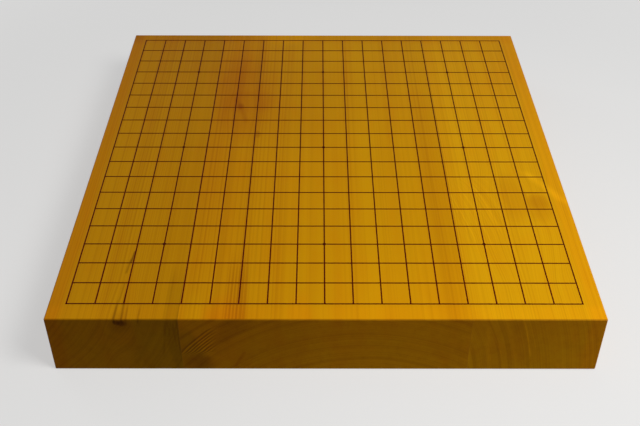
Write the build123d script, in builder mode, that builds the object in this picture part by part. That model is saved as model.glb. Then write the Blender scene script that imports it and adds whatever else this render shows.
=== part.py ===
from build123d import *
import os

# A table go board of solid conifer wood: three full-thickness staves glued edge to edge, with
# a grid of raised lacquer lines and nine star points drawn on the top face. It has no feet and
# stands on its plain underside.
# Millimetres. +Z is up, +Y points away from the player in front, +X to that player's right.
# The origin is the centre of the underside.

# Grid on the top face: columns run away from the player, rows run across.
line_count = 19
column_pitch = 21.95
row_pitch = 23.6
left_margin = 13.7
right_margin = 15.4
front_margin = 17.0
back_margin = 12.7
star_line_number = 4

# Board, as wide and as long as the grid and its margins.
board_thickness = 54.5
left_stave_width = 100.6
right_stave_width = 101.5
glue_thickness = 0.1
edge_chamfer = 0.7
board_width = left_margin + (line_count - 1) * column_pitch + right_margin
board_length = front_margin + (line_count - 1) * row_pitch + back_margin

# Lacquer: a bead's width is that of its foot, and its sides lean inwards.
column_line_width = 1.15
column_line_height = 0.12
row_line_width = 1.25
row_line_height = 0.18
line_side_angle = 45
star_point_diameter = 3.0
star_point_height = 0.32
star_point_rim_radius = 0.2

# Places that several pieces share.
left_edge_x = -board_width / 2
right_edge_x = board_width / 2
front_edge_y = -board_length / 2
left_seam_x = left_edge_x + left_stave_width
right_seam_x = right_edge_x - right_stave_width
column_places = [left_edge_x + left_margin + column_pitch * index for index in range(line_count)]
row_places = [front_edge_y + front_margin + row_pitch * index for index in range(line_count)]

os.makedirs("parts", exist_ok=True)


def write_piece(piece, name):
    piece.part.label = name
    export_step(piece.part, f"parts/{name}.step")


# The glued-up block with its broken edges, from which the staves and glue films are taken.
with BuildPart() as block:
    with BuildSketch(Plane.XY):
        Rectangle(board_width, board_length)
    extrude(amount=board_thickness)
    chamfer(block.edges(), edge_chamfer)


def slice_of_block(left_x, right_x):
    with BuildPart() as piece:
        add(block.part)
        with BuildSketch(Plane.XY):
            with Locations(((left_x + right_x) / 2, 0)):
                Rectangle(right_x - left_x, board_length)
        extrude(amount=board_thickness, mode=Mode.INTERSECT)
    return piece


# Staves: each runs the whole length and thickness of the board, so its end grain is the front
# and the back face. They stop half a glue film short of their seams.
half_film = glue_thickness / 2
write_piece(slice_of_block(left_edge_x, left_seam_x - half_film), "left_stave")
write_piece(slice_of_block(left_seam_x + half_film, right_seam_x - half_film), "middle_stave")
write_piece(slice_of_block(right_seam_x + half_film, right_edge_x), "right_stave")

# Glue films: they fill the two seams flush with the faces and the broken edges.
write_piece(slice_of_block(left_seam_x - half_film, left_seam_x + half_film), "left_glue_film")
write_piece(slice_of_block(right_seam_x - half_film, right_seam_x + half_film), "right_glue_film")


# Column lines: laid first, straight onto the wood, and as long as the outer rows are apart.
def column_line_sections(column_xs, back_end_y):
    with BuildSketch(Plane.XZ.offset(-back_end_y)) as sections:
        with Locations([(column_x, board_thickness) for column_x in column_xs]):
            Trapezoid(
                column_line_width, column_line_height, line_side_angle, align=(Align.CENTER, Align.MIN)
            )
    return sections.sketch


def make_column_line(column_x):
    back_end_y = row_places[-1] + row_line_width / 2
    front_end_y = row_places[0] - row_line_width / 2
    with BuildPart() as line:
        extrude(column_line_sections([column_x], back_end_y), amount=back_end_y - front_end_y)
    return line


for index, column_x in enumerate(column_places):
    write_piece(make_column_line(column_x), f"column_line_{index + 1:02d}")


# Row lines: laid second, so that each one steps over every column line.
def row_line_section(row_y, left_end_x):
    with BuildSketch(Plane.YZ.offset(left_end_x)) as section:
        with Locations((row_y, board_thickness)):
            Trapezoid(row_line_width, row_line_height, line_side_angle, align=(Align.CENTER, Align.MIN))
    return section.sketch


def make_row_line(row_y):
    left_end_x = column_places[0] - column_line_width / 2
    right_end_x = column_places[-1] + column_line_width / 2
    with BuildPart() as line:
        extrude(row_line_section(row_y, left_end_x), amount=right_end_x - left_end_x)
        crossed_lines = column_line_sections(column_places, row_y + row_line_width / 2)
        extrude(crossed_lines, amount=row_line_width, mode=Mode.SUBTRACT)
    return line


for index, row_y in enumerate(row_places):
    write_piece(make_row_line(row_y), f"row_line_{index + 1:02d}")


# Star points: drops of lacquer with a round rim, set last over the crossings of the fourth and
# the middle lines.
def make_star_point(column_x, row_y):
    radius = star_point_diameter / 2
    with BuildPart() as point:
        with BuildSketch(Plane.XY.offset(board_thickness)):
            with Locations((column_x, row_y)):
                Circle(radius)
        extrude(amount=star_point_height)
        fillet(point.edges().group_by(Axis.Z)[-1], star_point_rim_radius)
        extrude(column_line_sections([column_x], row_y + radius), amount=2 * radius, mode=Mode.SUBTRACT)
        extrude(row_line_section(row_y, column_x - radius), amount=2 * radius, mode=Mode.SUBTRACT)
    return point


star_line_indices = [star_line_number - 1, (line_count - 1) // 2, line_count - star_line_number]
for row_name, row_index in zip(["front", "middle", "back"], star_line_indices):
    for column_name, column_index in zip(["left", "centre", "right"], star_line_indices):
        star_point = make_star_point(column_places[column_index], row_places[row_index])
        write_piece(star_point, f"star_point_{row_name}_{column_name}")
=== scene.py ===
import math

import bmesh
import bpy
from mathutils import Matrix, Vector


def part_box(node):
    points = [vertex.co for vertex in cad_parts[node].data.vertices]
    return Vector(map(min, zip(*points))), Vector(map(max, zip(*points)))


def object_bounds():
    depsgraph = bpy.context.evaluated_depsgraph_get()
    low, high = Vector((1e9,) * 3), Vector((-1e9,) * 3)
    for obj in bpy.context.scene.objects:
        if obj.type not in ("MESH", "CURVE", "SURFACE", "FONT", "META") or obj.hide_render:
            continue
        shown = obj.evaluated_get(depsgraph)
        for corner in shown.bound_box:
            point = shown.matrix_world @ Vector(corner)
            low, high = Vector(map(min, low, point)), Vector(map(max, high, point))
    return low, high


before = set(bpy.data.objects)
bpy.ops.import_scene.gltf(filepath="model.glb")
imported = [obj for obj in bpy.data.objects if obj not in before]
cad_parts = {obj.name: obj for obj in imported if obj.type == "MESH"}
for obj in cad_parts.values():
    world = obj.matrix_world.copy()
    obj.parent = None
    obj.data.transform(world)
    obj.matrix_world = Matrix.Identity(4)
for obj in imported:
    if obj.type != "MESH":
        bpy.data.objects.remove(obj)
cad_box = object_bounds()
scene = bpy.context.scene
scene.view_settings.view_transform = "Standard"

# ---------------------------------------------------------------------------------------------
# Viewpoint: at the near side, a little to the left of the middle, looking down on the board at
# about 38 degrees.
viewpoint = bpy.data.objects.new("viewpoint", bpy.data.cameras.new("viewpoint"))
viewpoint.data.sensor_width = 36.0
viewpoint.data.lens = 52.67
viewpoint.location = (-0.0063, -0.7298, 0.5518)
viewpoint.rotation_euler = [math.radians(turn) for turn in (51.795, -0.14, -0.068)]
scene.collection.objects.link(viewpoint)
scene.camera = viewpoint

# ---------------------------------------------------------------------------------------------
# Table top and air: the board lies with its whole underside on a plain pale surface, which glows
# softly, so that it looks even and fades into the air further off. Both throw less light back
# onto the wood than they show, so that the end grain stays in half-shade.
table_half_width = 4.0
near_glow = 0.6
fade_starts = 0.4
fade_ends = 1.2
table_shows = (0.80, 0.79, 0.77, 1.0)
table_throws_back = (0.25, 0.25, 0.25, 1.0)
air_shows = (0.82, 0.82, 0.82, 1.0)
air_throws = (0.20, 0.20, 0.20, 1.0)
black = (0.0, 0.0, 0.0, 1.0)


class Field:
    """An output of a finish's nodes: a number, colour or place that sums can be written with."""

    def __init__(self, finish, socket):
        self.finish = finish
        self.socket = socket

    def work_out(self, operation, first, second=0.0):
        return self.finish.node("Math", {"operation": operation}, {0: first, 1: second})

    def __add__(self, other):
        return self.work_out("ADD", self, other)

    def __radd__(self, other):
        return self.work_out("ADD", other, self)

    def __sub__(self, other):
        return self.work_out("SUBTRACT", self, other)

    def __rsub__(self, other):
        return self.work_out("SUBTRACT", other, self)

    def __mul__(self, other):
        return self.work_out("MULTIPLY", self, other)

    def __rmul__(self, other):
        return self.work_out("MULTIPLY", other, self)

    def __truediv__(self, other):
        return self.work_out("DIVIDE", self, other)

    def __pow__(self, other):
        return self.work_out("POWER", self, other)

    def __abs__(self):
        return self.work_out("ABSOLUTE", self)


class Finish:
    """The nodes of a surface that is being made up. node() makes any one of them."""

    def __init__(self, owner, end):
        owner.use_nodes = True
        self.tree = owner.node_tree
        self.tree.nodes.clear()
        self.end = self.tree.nodes.new(end)

    def node(self, kind, settings, sockets, output=0):
        made = self.tree.nodes.new("ShaderNode" + kind)
        for name, setting in settings.items():
            setattr(made, name, setting)
        for name, value in sockets.items():
            if isinstance(value, Field):
                self.tree.links.new(value.socket, made.inputs[name])
            else:
                made.inputs[name].default_value = value
        return Field(self, made.outputs[output])

    def place(self):
        """Where a point of the surface lies in the frame, in metres."""
        return self.node("TexCoord", {}, {}, "Object")

    def mix(self, share, first, second, blend="MIX"):
        """Of two colours. A Mix node has its colour sockets at 6 and 7 and that output at 2."""
        settings = {"data_type": "RGBA", "blend_type": blend}
        return self.node("Mix", settings, {0: share, 6: first, 7: second}, 2)

    def rise(self, value, low, high):
        """From 0 where value is low or less to 1 where it is high or more, rounded at both."""
        sockets = {"Value": value, "From Min": low, "From Max": high}
        return self.node("MapRange", {"interpolation_type": "SMOOTHSTEP"}, sockets)

    def seen(self):
        """1 for a ray that looks, also by a mirror or through glass, and 0 for one that lights."""
        camera = self.node("LightPath", {}, {}, "Is Camera Ray")
        mirror = self.node("LightPath", {}, {}, "Is Glossy Ray")
        glass = self.node("LightPath", {}, {}, "Is Transmission Ray")
        return camera.work_out("MAXIMUM", camera, mirror.work_out("MAXIMUM", mirror, glass))

    def close(self, shader, sockets):
        """Ends the nodes in that shader."""
        made = self.node(shader, {}, sockets)
        self.tree.links.new(made.socket, self.end.inputs["Surface"])


def material(name):
    made = bpy.data.materials.new(name)
    return made, Finish(made, "ShaderNodeOutputMaterial")


table_mesh = bmesh.new()
bmesh.ops.create_grid(table_mesh, x_segments=1, y_segments=1, size=table_half_width)
table = bpy.data.objects.new("table_top", bpy.data.meshes.new("table_top"))
table_mesh.to_mesh(table.data)
table_mesh.free()
scene.collection.objects.link(table)
table_material, table_finish = material("table_top")
distance = table_finish.node("VectorMath", {"operation": "LENGTH"}, {0: table_finish.place()}, "Value")
fade = table_finish.rise(distance, fade_starts, fade_ends)
glow = near_glow + fade * (1 - near_glow)
table_looks = table_finish.mix(glow, table_shows, black)
table_sockets = {
    "Base Color": table_finish.mix(table_finish.seen(), table_throws_back, table_looks),
    "Emission Color": table_finish.mix(table_finish.seen() * glow, black, air_shows),
    "Emission Strength": 1.0,
    "Roughness": 0.9,
    "Specular IOR Level": 0.0,
}
table_finish.close("BsdfPrincipled", table_sockets)
table.data.materials.append(table_material)

scene.world = bpy.data.worlds.new("air")
air_finish = Finish(scene.world, "ShaderNodeOutputWorld")
air_colour = air_finish.mix(air_finish.seen(), air_throws, air_shows)
air_finish.close("Background", {"Color": air_colour, "Strength": 1.0})

# ---------------------------------------------------------------------------------------------
# Lamps: one large soft box above the near right corner, whose light falls off towards the far
# left corner and only grazes the front, and a weak low one beyond that far corner.


def soft_box(name, place, aimed_at, width, watts):
    lamp = bpy.data.objects.new(name, bpy.data.lights.new(name, "AREA"))
    lamp.data.shape = "SQUARE"
    lamp.data.size = width
    lamp.data.energy = watts
    lamp.location = place
    lamp.rotation_euler = (Vector(aimed_at) - Vector(place)).to_track_quat("-Z", "Y").to_euler()
    scene.collection.objects.link(lamp)


soft_box("near_right", place=(0.55, -0.5, 0.95), aimed_at=(0.05, 0.0, 0.05), width=0.5, watts=10.4)
soft_box("far_left", place=(-1.5, 1.3, 0.35), aimed_at=(0.0, 0.0, 0.03), width=0.8, watts=7.0)

# ---------------------------------------------------------------------------------------------
# Left stave: a plank of conifer wood as thick as the board, with its growth rings on edge and a
# dead knot just under the face at the front, which sends dark streaks up to it. It is glued
# along its whole edge to the next stave, planed, waxed and rubbed to a satin.
millimetres_in_a_metre = 1000.0
face_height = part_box("middle_stave")[1][2] * millimetres_in_a_metre
centre_to_side = cad_box[1][0] * millimetres_in_a_metre
centre_to_end = cad_box[1][1] * millimetres_in_a_metre
satin_roughness = 0.47
wax_gloss = 0.03


def srgb(red, green, blue):
    """A colour given as 0 to 255 a channel, as the linear colour that a node holds."""
    linear = []
    for channel in (red, green, blue):
        share = channel / 255
        linear.append(share / 12.92 if share <= 0.04045 else ((share + 0.055) / 1.055) ** 2.4)
    return (*linear, 1.0)


def bumps(finish, height):
    """What a shader's Normal takes for bumps of that height, in millimetres."""
    sockets = {"Height": height, "Distance": 1 / millimetres_in_a_metre, "Strength": 1.0}
    return finish.node("Bump", {}, sockets, "Normal")


def dress(node_name, its_material):
    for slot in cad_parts[node_name].material_slots:
        slot.material = its_material


class Wood(Finish):
    """Conifer wood, as a solid measured in millimetres, so that its rings run over the edges.

    It grew round a pith at (pith_x, pith_z), with rings ring_gap apart, pale early in the year
    and darker late. The grain swings round each hidden branch (x, y, half width, half length).
    Another tree_number gives another tree's clouds and rings.
    """

    def __init__(self, name, tree_number, pith_x, pith_z, ring_gap, early, late, branches):
        self.made = bpy.data.materials.new(name)
        super().__init__(self.made, "ShaderNodeOutputMaterial")
        self.tree_number = tree_number
        sockets = {0: self.place(), "Scale": millimetres_in_a_metre}
        place = self.node("VectorMath", {"operation": "SCALE"}, sockets)
        self.x = self.node("SeparateXYZ", {}, {0: place}, "X")
        self.y = self.node("SeparateXYZ", {}, {0: place}, "Y")
        self.z = self.node("SeparateXYZ", {}, {0: place}, "Z")
        self.depth = face_height - self.z
        facing = self.node("SeparateXYZ", {}, {0: self.node("NewGeometry", {}, {}, "Normal")}, "Y")
        self.end_grain = self.rise(abs(facing), 0.4, 0.9)
        self.long_grain = 1 - self.end_grain
        self.front_end = self.fall(self.y + centre_to_end, 3.0, 12.0)
        self.grow(pith_x, pith_z, ring_gap, branches)

        self.colour = self.mix(self.latewood, early, late)
        lean_years = self.rise(self.along(self.radius / 4.5, 13), -0.3, 0.6)
        self.tint(lean_years * (0.2 + 0.8 * self.end_grain), 0.88, 0.85, 0.85)
        self.tint(self.rise(self.strands, -0.1, 0.9), 0.84, 0.76, 0.60)
        self.tint(self.rise(self.cloud(13, 900, 40, 7), -0.2, 0.7), 0.95, 0.88, 0.80)
        self.tint(self.rise(self.cloud(40, 150, 40, 8), -0.1, 0.7), 0.98, 0.91, 0.85)
        self.tint(self.rise(self.cloud(12, 40, 12, 16), -0.2, 0.7), 1.0, 0.94, 0.9)

    def grow(self, pith_x, pith_z, ring_gap, branches):
        """Works out the rings, some fat and some lean, and the strands that run along the grain."""
        grain_x = self.x
        for x, y, half_width, half_length in branches:
            grain_x = grain_x - (self.x - x) * self.blob(x, y, half_width, half_length) * 0.4
        self.grain = self.node("CombineXYZ", {}, {"X": grain_x, "Y": self.y, "Z": self.z})

        across = grain_x - pith_x + self.cloud(90, 600, 90, 1) * 2.5 + self.cloud(14, 260, 14, 2) * 0.4
        up = self.z - pith_z + self.cloud(90, 600, 90, 3) * 2.5
        self.radius = (across * across + up * up) ** 0.5
        self.bearing = self.node("Math", {"operation": "ARCTAN2"}, {0: across, 1: up})
        rings = self.radius / ring_gap + self.along(self.radius / 17.0, 4) * 3.0
        year_gone = self.node("Math", {"operation": "FRACT"}, {0: rings})
        year = self.node("Math", {"operation": "FLOOR"}, {0: rings})
        strength = self.node("TexWhiteNoise", {"noise_dimensions": "1D"}, {"W": year}, "Value")
        late_in_year = self.rise(year_gone, 0.2, 0.9) * self.fall(year_gone, 0.88, 1.0)
        slant = self.rise(abs(across) / self.radius, 0.12, 0.55)
        clearness = self.node("Math", {"operation": "MAXIMUM"}, {0: slant, 1: self.end_grain})
        self.latewood = late_in_year * (0.15 + 0.85 * strength) * (0.12 + 0.88 * clearness)
        self.strands = self.cloud(0.7, 400, 0.7, 5) * 0.5 + self.cloud(2.4, 900, 2.4, 6) * 0.7

    def fall(self, value, low, high):
        """From 1 where value is low or less to 0 where it is high or more, rounded at both."""
        return 1 - self.rise(value, low, high)

    def between(self, value, low, high, soft):
        """1 where value is between low and high, 0 outside, with soft as half the change's width."""
        return self.rise(value, low - soft, low + soft) * self.fall(value, high - soft, high + soft)

    def cloud(self, length_x, length_y, length_z, number):
        """-1 to 1, wandering over about those lengths of the grain."""
        stretch = (1 / length_x, 1 / length_y, 1 / length_z)
        shift = (7.3 * self.tree_number, 3.1 * number, 5.7 * number)
        sockets = {0: self.grain, 1: stretch, 2: shift}
        placed = self.node("VectorMath", {"operation": "MULTIPLY_ADD"}, sockets)
        sockets = {"Vector": placed, "Scale": 1.0, "Detail": 2.0, "Roughness": 0.5}
        return self.node("TexNoise", {"noise_dimensions": "3D"}, sockets) * 2.0 - 1.0

    def along(self, value, number):
        """-1 to 1, wandering as value grows."""
        sockets = {"W": value + (11.7 * number + 31.9 * self.tree_number), "Scale": 1.0, "Detail": 1.0}
        return self.node("TexNoise", {"noise_dimensions": "1D"}, sockets) * 2.0 - 1.0

    def rays(self):
        """0 to 1 in fine stripes that run from the pith outwards, as rays do in end grain."""
        sockets = {"X": self.bearing * 300.0, "Y": self.radius / 16.0, "Z": self.y / 2.0}
        fan = self.node("CombineXYZ", {}, sockets)
        stripes = self.node("TexNoise", {}, {"Vector": fan, "Scale": 1.0, "Detail": 1.0}) * 2.0 - 1.0
        return self.rise(stripes, 0.1, 0.9)

    def tint(self, share, red, green, blue):
        """Where share is 1, multiplies the wood's red, green and blue by those amounts."""
        self.colour = self.mix(share, self.colour, (red, green, blue, 1.0), "MULTIPLY")

    def blob(self, x, y, half_width, half_length):
        """1 inside an egg-shaped patch of the face, which goes down into the wood, 0 outside."""
        reach = ((self.x - x) / half_width) ** 2.0 + ((self.y - y) / half_length) ** 2.0
        return self.fall(reach, 0.0, 1.0)

    def core(self, x, z, half_width, half_height):
        """1 inside an egg-shaped spot of the front end, which goes a little way back, 0 outside."""
        reach = ((self.x - x) / half_width) ** 2.0 + ((self.z - z) / half_height) ** 2.0
        return self.fall(reach, 0.0, 1.0) * self.front_end

    def stripe(self, running, start, end, half_width, bend):
        gone = (running - start[1]) / (end[1] - start[1])
        gone_in = self.node("Clamp", {}, {"Value": gone})
        line_x = gone_in**bend * (end[0] - start[0]) + start[0]
        beside = self.fall(abs(self.x - line_x), 0.0, half_width)
        return beside * self.rise(gone, -0.1, 0.15) * self.fall(gone, 0.85, 1.1)

    def streak(self, start, end, half_width, bend=1.0):
        """1 on a thin streak of the face from start to end, which may bend, 0 beside it."""
        return self.stripe(self.y, start, end, half_width, bend)

    def end_streak(self, start, end, half_width, bend=1.0):
        """1 on a thin streak of the front end from start to end, which may bend, 0 beside it."""
        return self.stripe(self.z, start, end, half_width, bend) * self.front_end

    def cover(self, node_name):
        """Adds what all three staves share, closes the finish and puts it on a stave."""
        # Painted light and shade: the face is brighter along its front edge and darker along its back
        # edge, and the end grain is darker near the top and brighter near the foot.
        front_margin_painted_light = self.fall(self.y + centre_to_end, 10.0, 18.0) * self.long_grain
        back_margin_painted_shade = self.rise(self.y, 204.0, 215.0)
        end_top_painted_shade = self.end_grain * self.fall(self.depth, 0.0, 26.0)
        end_foot_painted_light = self.end_grain * self.rise(self.depth, 26.0, 54.0)
        end_mottle = self.end_grain * self.rise(self.cloud(7, 60, 7, 10), -0.2, 0.8)
        end_rays = self.end_grain * self.rays()
        self.tint(front_margin_painted_light, 1.08, 1.03, 1.0)
        self.tint(back_margin_painted_shade, 0.98, 0.92, 0.95)
        # The end grain is darker than the face: partly its own darker tone, partly painted shade.
        self.tint(self.end_grain, 0.63, 0.56, 0.40)
        self.tint(end_top_painted_shade, 0.93, 0.90, 0.9)
        self.tint(end_foot_painted_light, 1.08, 1.10, 1.0)
        self.tint(end_mottle, 0.90, 0.88, 0.85)
        self.tint(end_rays, 0.94, 0.93, 0.90)

        side_gap = centre_to_side - abs(self.x)
        end_gap = centre_to_end - abs(self.y)
        rim_gap = self.node("Math", {"operation": "MINIMUM"}, {0: side_gap, 1: end_gap})
        top_rim = self.fall(self.depth, 0.3, 2.2) * self.fall(rim_gap, 0.3, 2.2)
        rubbed = top_rim * self.rise(self.cloud(9, 9, 9, 9), -0.6, 0.5)
        roughness = satin_roughness - self.latewood * 0.06 + self.strands * 0.04
        height = self.latewood * 0.010 + self.strands * 0.004 + end_rays * 0.006
        sockets = {
            "Base Color": self.colour,
            "Roughness": roughness + self.end_grain * 0.12 - rubbed * 0.08,
            "Normal": bumps(self, height),
            "Specular IOR Level": wax_gloss,
        }
        self.close("BsdfPrincipled", sockets)
        dress(node_name, self.made)


left_wood = Wood(
    "left_stave_wood",
    tree_number=1,
    pith_x=-300.0,
    pith_z=112.0,
    ring_gap=1.9,
    early=srgb(193, 136, 3),
    late=srgb(183, 125, 2),
    branches=[(-156.0, -236.0, 16.0, 60.0)],
)
towards_seam = left_wood.rise(left_wood.x, -200.0, -130.0)
# Painted shade: the face grows darker towards the back.
back_painted_shade = left_wood.rise(left_wood.y, -60.0, 260.0)
outer_rim = left_wood.fall(left_wood.x, -205.0, -196.0)
left_wood.tint(towards_seam, 0.94, 0.92, 0.9)
left_wood.tint(back_painted_shade, 0.96, 0.91, 0.9)
left_wood.tint(outer_rim, 1.0, 0.85, 0.85)

# The knot's streaks: start and end as (x, y), half width, strength. Some run out over the front.
beyond_front = -260.0
knot_streaks = [
    ((-155.0, -148.0), (-156.4, -163.0), 1.6, 0.9),
    ((-156.8, -158.0), (-158.2, -176.0), 1.8, 0.5),
    ((-157.4, -186.0), (-158.6, -209.0), 1.4, 0.35),
    ((-159.3, -208.0), (-160.1, beyond_front), 1.5, 0.75),
    ((-154.9, -196.0), (-152.8, beyond_front), 1.4, 0.6),
    ((-151.0, -212.0), (-149.0, beyond_front), 1.2, 0.4),
    ((-141.4, -214.0), (-141.8, beyond_front), 1.3, 0.4),
]
skin_deep = left_wood.fall(left_wood.depth, 2.0, 7.0)
for start, end, half_width, strength in knot_streaks:
    streak = left_wood.streak(start, end, half_width) * skin_deep
    left_wood.tint(streak * strength, 0.38, 0.33, 0.3)

# The knot itself, as two spots and the stained wood round them.
for x, z, half_width, half_height in [(-157.8, 51.0, 3.6, 3.4), (-154.0, 50.2, 4.6, 3.8)]:
    left_wood.tint(left_wood.core(x, z, half_width, half_height), 0.52, 0.43, 0.36)
left_wood.tint(left_wood.core(-156.5, 48.0, 10.0, 11.0), 0.84, 0.82, 0.8)

# Olive wood beside the seam, with dark streaks: start and end as (x, z), half width, strength.
olive_edge = left_wood.depth * left_wood.depth * 0.0026 - 123.0
olive = left_wood.rise(left_wood.x - olive_edge, -1.5, 1.5) * left_wood.fall(left_wood.y, -196.0, -158.0)
olive_strands = olive * left_wood.rise(left_wood.cloud(1.6, 90, 12, 11), -0.1, 0.6)
olive_end = left_wood.between(left_wood.x, -147.0, -108.0, 8.0) * left_wood.end_grain
left_wood.tint(olive, 0.90, 0.92, 0.7)
left_wood.tint(olive_strands, 0.78, 0.78, 0.7)
left_wood.tint(olive_end, 0.90, 0.98, 0.8)
olive_streaks = [
    ((-120.9, 52.0), (-125.3, 17.0), 1.6, 0.7),
    ((-115.4, 50.0), (-114.8, 24.0), 1.1, 0.5),
    ((-112.4, 54.0), (-112.2, 17.0), 1.2, 0.9),
]
for start, end, half_width, strength in olive_streaks:
    left_wood.tint(left_wood.end_streak(start, end, half_width) * strength, 0.78, 0.74, 0.7)

# Painted shade: the front end of this stave is darker still, and the far left corner of the face is
# darker.
far_corner_painted_shade = left_wood.fall(left_wood.x, -212.0, -196.0) * left_wood.rise(left_wood.y, 198.0, 226.0)
left_wood.tint(left_wood.end_grain, 0.79, 0.80, 0.85)
left_wood.tint(far_corner_painted_shade, 0.80, 0.86, 0.9)
left_wood.cover("left_stave")

# ---------------------------------------------------------------------------------------------
# Middle stave: the widest plank, of the same wood, sawn from above the pith, so that its rings
# make low arches in the end grain. One group of rings is red and hard, and runs out of the face
# on both sides. It is glued in between the other two staves.
middle_wood = Wood(
    "middle_stave_wood",
    tree_number=2,
    pith_x=30.0,
    pith_z=-120.0,
    ring_gap=1.7,
    early=srgb(203, 145, 3),
    late=srgb(190, 130, 2),
    branches=[(-79.0, 66.0, 22.0, 60.0)],
)
redder_left = middle_wood.fall(middle_wood.x, -125.0, -5.0)
middle_wood.tint(redder_left, 0.91, 0.84, 0.85)

# The hard rings. On the face they show as dark lines near the front, and in the end grain they
# swell, with bright wood between them.
hard_middle = 201.3
first_hard_line = 197.0
left_half = middle_wood.fall(middle_wood.x, -20.0, 0.0)
swell = middle_wood.between(middle_wood.depth, 8.0, 38.0, 4.0) * middle_wood.end_grain
hard_place = middle_wood.radius + middle_wood.depth * 0.15 + swell * 5.3
off_middle = abs(hard_place - hard_middle)
hard_rings = 1 - middle_wood.rise(off_middle, 3.2 + swell * 4.5, 4.8 + swell * 5.5)
hard_rings = hard_rings * left_half * middle_wood.fall(middle_wood.y, -186.0, -142.0)
hard_gap = 1.4 + swell * 0.9
hard_years = (hard_place - first_hard_line) / hard_gap + middle_wood.along(hard_place / 5.0, 15) * 0.3
hard_year_gone = middle_wood.node("Math", {"operation": "FRACT"}, {0: hard_years})
hard_line = middle_wood.between(hard_year_gone, 0.15, 0.7, 0.12)
hard_face = hard_rings * middle_wood.long_grain
hard_end = hard_rings * swell * middle_wood.fall(middle_wood.x, -91.0, -81.0)
middle_wood.tint(hard_face, 0.96, 0.88, 0.9)
middle_wood.tint(hard_face * hard_line * 0.45, 0.66, 0.56, 0.6)
middle_wood.tint(hard_end * hard_line, 0.66, 0.60, 0.6)
middle_wood.tint(hard_end * (1 - hard_line), 1.30, 1.32, 1.2)

# The same rings further on, as a dark diagonal, and the other marks on the left of the front end
# and on the face next to it.
dark_diagonal = middle_wood.between(hard_place, 193.0, 204.0, 3.0) * left_half
dark_diagonal = dark_diagonal * middle_wood.rise(middle_wood.x, -90.0, -78.0)
middle_wood.tint(dark_diagonal * middle_wood.end_grain, 0.84, 0.79, 0.8)
for x, half_width, green in [(-101.0, 9.0, 1.10), (-77.0, 16.0, 0.93), (-20.0, 12.0, 0.93)]:
    front_patch = middle_wood.blob(x, -226.0, half_width, 36.0) * middle_wood.long_grain
    middle_wood.tint(front_patch, 1.03, green, 0.9)
red_border = middle_wood.between(middle_wood.radius, 192.0, 214.0, 3.0) * left_half
red_border = red_border * middle_wood.fall(middle_wood.y, -228.0, -200.0) * middle_wood.long_grain
middle_wood.tint(red_border, 0.98, 0.90, 0.8)
beside_seam = middle_wood.fall(middle_wood.x - middle_wood.depth * 0.35 + 111.0, 0.0, 9.0)
beside_seam = beside_seam * middle_wood.rise(middle_wood.depth, 4.0, 18.0)
middle_wood.tint(beside_seam * middle_wood.end_grain, 0.80, 0.84, 0.8)
middle_wood.tint(middle_wood.end_streak((-62.2, 20.1), (-71.4, 2.0), 2.5), 0.86, 0.76, 0.8)
middle_wood.tint(middle_wood.core(-98.0, 8.0, 16.0, 11.0), 0.80, 0.70, 0.8)
# Painted shade: the front end is darker towards the left.
left_end_painted_shade = middle_wood.end_grain * middle_wood.fall(middle_wood.x, -40.0, 20.0)
middle_wood.tint(left_end_painted_shade, 0.90, 0.89, 0.9)

# Slow changes of tone over the face, a brighter patch at the back edge, and painted light that makes the
# face brighter towards the near right corner.
orange_rings = middle_wood.between(middle_wood.radius, 183.5, 191.5, 2.5)
orange_rings = orange_rings * middle_wood.rise(middle_wood.x, 40.0, 80.0)
orange_rings = orange_rings * middle_wood.fall(middle_wood.y, 40.0, 130.0)
# Painted light: the face is brighter towards the near right corner.
near_corner_painted_light = middle_wood.rise(middle_wood.x, -20.0, 40.0) * middle_wood.long_grain
near_corner_painted_light = near_corner_painted_light * middle_wood.fall(middle_wood.y, -220.0, -120.0)
middle_wood.tint(orange_rings, 0.95, 0.90, 0.85)
middle_wood.tint(redder_left * middle_wood.rise(middle_wood.y, -180.0, -60.0), 0.96, 0.90, 0.9)
middle_wood.tint(middle_wood.blob(-40.0, 95.0, 110.0, 115.0), 0.93, 0.91, 0.85)
middle_wood.tint(near_corner_painted_light, 1.07, 1.03, 1.0)
middle_wood.tint(middle_wood.blob(-42.0, 228.0, 40.0, 28.0), 1.15, 1.20, 1.0)

# The red patch over the hidden branch, with two dark spots and a bent streak in it.
blush = middle_wood.rise(middle_wood.cloud(17, 60, 17, 12), -0.5, 0.5)
middle_wood.tint(middle_wood.blob(-80.0, 108.0, 36.0, 112.0) * (0.5 + 0.5 * blush), 0.90, 0.76, 0.8)
middle_wood.tint(middle_wood.blob(-74.0, 84.0, 34.0, 26.0) * (0.4 + 0.6 * blush), 0.92, 0.80, 0.8)
middle_wood.tint(middle_wood.streak((-88.0, 88.0), (-77.0, 46.0), 4.5, bend=0.8), 0.88, 0.80, 0.8)
middle_wood.tint(middle_wood.blob(-84.0, 75.0, 5.0, 7.0), 0.80, 0.70, 0.7)
middle_wood.tint(middle_wood.blob(-64.0, 24.0, 4.0, 8.0), 0.84, 0.78, 0.8)
middle_wood.cover("middle_stave")

# ---------------------------------------------------------------------------------------------
# Right stave: paler wood whose rings stand almost upright. Branches grew close by, and the grain
# swings round them, which shows as bright curls. It is glued and finished as the others are.
right_wood = Wood(
    "right_stave_wood",
    tree_number=3,
    pith_x=-50.0,
    pith_z=-25.0,
    ring_gap=1.9,
    early=srgb(214, 157, 6),
    late=srgb(203, 145, 4),
    branches=[(160.0, -112.0, 46.0, 90.0), (206.0, -84.0, 30.0, 50.0)],
)
# Painted shade: the face grows darker towards the back.
back_painted_shade = right_wood.rise(right_wood.y, -60.0, 260.0)
outer_rim = right_wood.rise(right_wood.x, 196.0, 203.0)
right_wood.tint(back_painted_shade, 0.96, 0.91, 0.9)
right_wood.tint(outer_rim, 1.06, 0.95, 0.95)

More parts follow.
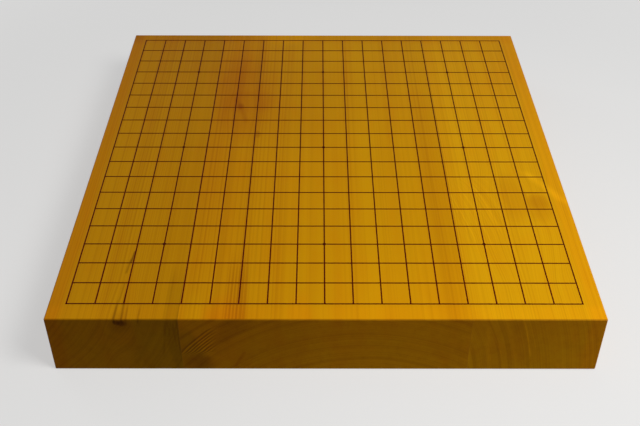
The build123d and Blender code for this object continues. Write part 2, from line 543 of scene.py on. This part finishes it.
# Ripples that bend with the curls.
curl_gone = right_wood.node("Clamp", {}, {"Value": (right_wood.y + 50.0) / -80.0})
beside_curl = right_wood.x - curl_gone**0.6 * 20.0
ripple = right_wood.along(beside_curl / 1.5 + right_wood.y / 40.0, 14)
near_branch = right_wood.blob(134.0, -90.0, 32.0, 66.0)
right_wood.tint(near_branch * right_wood.rise(ripple, 0.0, 0.6), 1.10, 1.11, 1.2)
right_wood.tint(near_branch * right_wood.rise(ripple * -1.0, 0.0, 0.6), 0.93, 0.89, 0.8)

# The curls: start and end as (x, y), half width, bend, strength. They stay near the face.
bright_curls = [
    ((127.0, -52.0), (147.0, -124.0), 2.4, 0.6, 0.5),
    ((121.0, -70.0), (139.0, -150.0), 1.6, 0.6, 0.4),
    ((182.0, -37.0), (211.0, -85.0), 8.0, 1.0, 1.0),
]
dark_curls = [
    ((119.5, -118.0), (121.5, -138.0), 0.9, 1.0, 0.7),
    ((114.6, -96.0), (116.0, -108.0), 0.8, 1.0, 0.6),
    ((133.0, -60.0), (150.0, -118.0), 2.2, 0.6, 0.5),
]
near_face = right_wood.fall(right_wood.depth, 1.0, 16.0)
for curls, amounts in [(bright_curls, (1.16, 1.18, 1.4)), (dark_curls, (0.84, 0.78, 0.7))]:
    for start, end, half_width, bend, strength in curls:
        curl = right_wood.streak(start, end, half_width, bend) * near_face
        right_wood.tint(curl * strength, *amounts)

# Dark wood beside the curls: x, y, half width, half length.
dark_places = [(164.0, -76.0, 15.0, 46.0), (184.0, -90.0, 14.0, 26.0), (186.0, -82.0, 11.0, 15.0)]
for x, y, half_width, half_length in dark_places:
    right_wood.tint(right_wood.blob(x, y, half_width, half_length), 0.90, 0.83, 0.8)
red_strands = right_wood.blob(188.0, 150.0, 14.0, 90.0) * right_wood.rise(right_wood.strands, -0.3, 0.5)
right_wood.tint(red_strands, 0.95, 0.88, 0.8)

# Bright rings in the front end: start and end as (x, z), half width, bend, strength.
shaded_end = right_wood.end_grain * right_wood.fall(right_wood.x, 150.0, 205.0)
right_wood.tint(shaded_end, 0.90, 0.88, 0.9)
bright_rings = [
    ((148.8, 53.2), (158.8, 15.0), 0.9, 0.8, 1.0),
    ((121.0, 53.0), (136.5, 16.0), 0.8, 0.9, 0.6),
    ((152.5, 53.0), (162.5, 22.0), 0.7, 0.8, 0.5),
    ((136.0, 50.0), (147.0, 12.0), 0.8, 0.9, 0.4),
    ((123.0, 46.0), (128.0, 8.0), 3.2, 1.2, 0.5),
    ((109.5, 44.0), (110.5, 3.0), 4.0, 1.0, 0.5),
]
for start, end, half_width, bend, strength in bright_rings:
    ring = right_wood.end_streak(start, end, half_width, bend)
    right_wood.tint(ring * strength, 1.22, 1.22, 1.2)
right_wood.cover("right_stave")

# ---------------------------------------------------------------------------------------------
# Glue films: wood glue, squeezed to a thin film in each seam when the staves were clamped, dried
# to a clear amber and planed flush with the faces.
fresh_amber = srgb(158, 104, 20)
dry_amber = srgb(112, 68, 10)
glue_material, glue = material("glue")
dried = glue.node("TexNoise", {}, {"Vector": glue.place(), "Scale": 300.0, "Detail": 3.0})
glue_sockets = {
    "Base Color": glue.mix(dried, fresh_amber, dry_amber),
    "Roughness": 0.35 + dried * 0.3,
    "Normal": bumps(glue, dried * 0.02),
    "Specular IOR Level": 0.1,
}
glue.close("BsdfPrincipled", glue_sockets)
for node_name in ("left_glue_film", "right_glue_film"):
    dress(node_name, glue_material)

# ---------------------------------------------------------------------------------------------
# Lines and star points: black lacquer laid on thick, so that it stands up from the wood. Each is
# a little redder at the foot, where the lacquer is thin and the wood shines through it.
thin_lacquer = srgb(94, 10, 0)
thick_lacquer = srgb(62, 5, 0)
lacquer_material, lacquer = material("lacquer")
lacquer_place = lacquer.place()
lacquer_height = lacquer.node("SeparateXYZ", {}, {0: lacquer_place}, "Z") * millimetres_in_a_metre
thickness = lacquer_height - face_height
lump = lacquer.node("TexNoise", {}, {"Vector": lacquer_place, "Scale": 600.0, "Detail": 3.0})
thick = lacquer.rise(thickness + lump * 0.08, 0.05, 0.25)
lacquer_sockets = {
    "Base Color": lacquer.mix(thick, thin_lacquer, thick_lacquer),
    "Roughness": 0.4 + lump * 0.3,
    "Normal": bumps(lacquer, lump * 0.03),
    "Specular IOR Level": wax_gloss,
}
lacquer.close("BsdfPrincipled", lacquer_sockets)
for node_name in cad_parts:
    if node_name.startswith(("column_line", "row_line", "star_point")):
        dress(node_name, lacquer_material)
